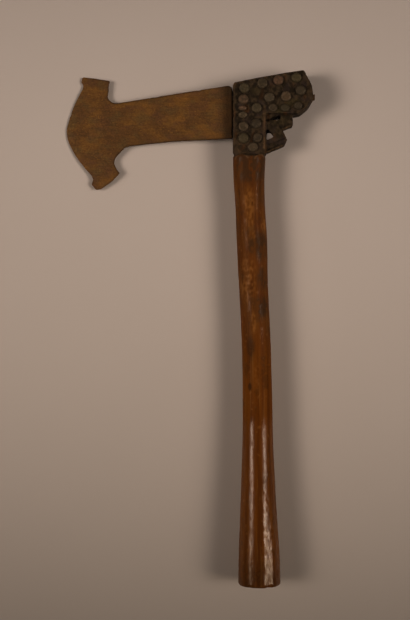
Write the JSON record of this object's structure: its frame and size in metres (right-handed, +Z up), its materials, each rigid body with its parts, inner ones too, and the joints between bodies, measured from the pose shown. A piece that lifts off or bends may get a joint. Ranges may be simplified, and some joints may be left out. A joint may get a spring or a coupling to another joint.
{
  "type": "iron axe",
  "caption": "Hand axe with a T-shaped forged iron blade tanged through a studded wooden head with an openwork zigzag brace, on a round haft that flares to the butt.",
  "frame": {"origin": "middle of the footprint of the axe as it lies at rest, on the surface under it", "axes": "+Y along the haft from the butt to the head, +Z up from the surface, +X from the cutting edge to the back of the head"},
  "size_m": [0.2216, 0.454, 0.0384],
  "materials": {
    "haft_wood": "oiled and hand-polished at the grip, blackened and dull at the head",
    "blade_iron": "forged iron with an even brown rust patina, satin",
    "tack_metal": "tarnished dark brown, dull, worn lighter at the rims"
  },
  "bodies": {
    "root": {"blade": "blade_iron", "haft": "haft_wood", "tack_back_01": "tack_metal", "tack_back_02": "tack_metal", "tack_back_03": "tack_metal", "tack_back_04": "tack_metal", "tack_back_05": "tack_metal", "tack_back_06": "tack_metal", "tack_back_07": "tack_metal", "tack_back_08": "tack_metal", "tack_back_09": "tack_metal", "tack_back_10": "tack_metal", "tack_back_11": "tack_metal", "tack_back_12": "tack_metal", "tack_back_13": "tack_metal", "tack_back_14": "tack_metal", "tack_front_01": "tack_metal", "tack_front_02": "tack_metal", "tack_front_03": "tack_metal", "tack_front_04": "tack_metal", "tack_front_05": "tack_metal", "tack_front_06": "tack_metal", "tack_front_07": "tack_metal", "tack_front_08": "tack_metal", "tack_front_09": "tack_metal", "tack_front_10": "tack_metal", "tack_front_11": "tack_metal", "tack_front_12": "tack_metal", "tack_front_13": "tack_metal", "tack_front_14": "tack_metal", "tack_front_15": "tack_metal", "tack_front_16": "tack_metal", "tack_front_17": "tack_metal", "tack_front_18": "tack_metal", "tack_front_19": "tack_metal"}
  },
  "joints": []
}
